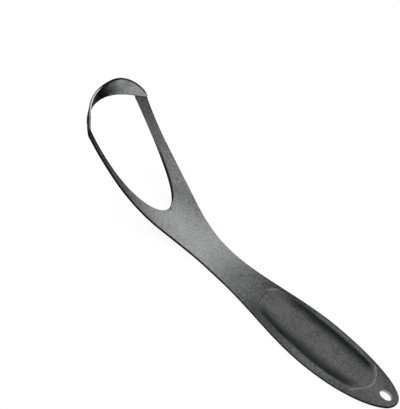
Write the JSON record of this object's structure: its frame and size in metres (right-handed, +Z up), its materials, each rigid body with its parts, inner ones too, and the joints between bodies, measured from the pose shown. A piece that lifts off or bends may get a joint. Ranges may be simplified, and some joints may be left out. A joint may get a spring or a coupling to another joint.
{
  "type": "tongue scraper",
  "caption": "Single-handle loop tongue scraper pressed from dark satin sheet steel, with a rounded handle, thumb rest, hanging hole and an upturned scraping band.",
  "frame": {"origin": "under the middle of the tool's length, on its plane of symmetry, at the height of the surface it rests on", "axes": "+X along the tool from the tail of the handle to the tip of the scraping band, +Y across it, +Z up out of the front face with the thumb rest"},
  "size_m": [0.1488, 0.043, 0.0267],
  "materials": {
    "satin_steel": "dark grey stainless steel, bead-blasted to a satin with a very fine mottled grain, edges tumbled smooth"
  },
  "bodies": {
    "root": {"handle_frame": "satin_steel", "scraper_band": "satin_steel"}
  },
  "joints": []
}
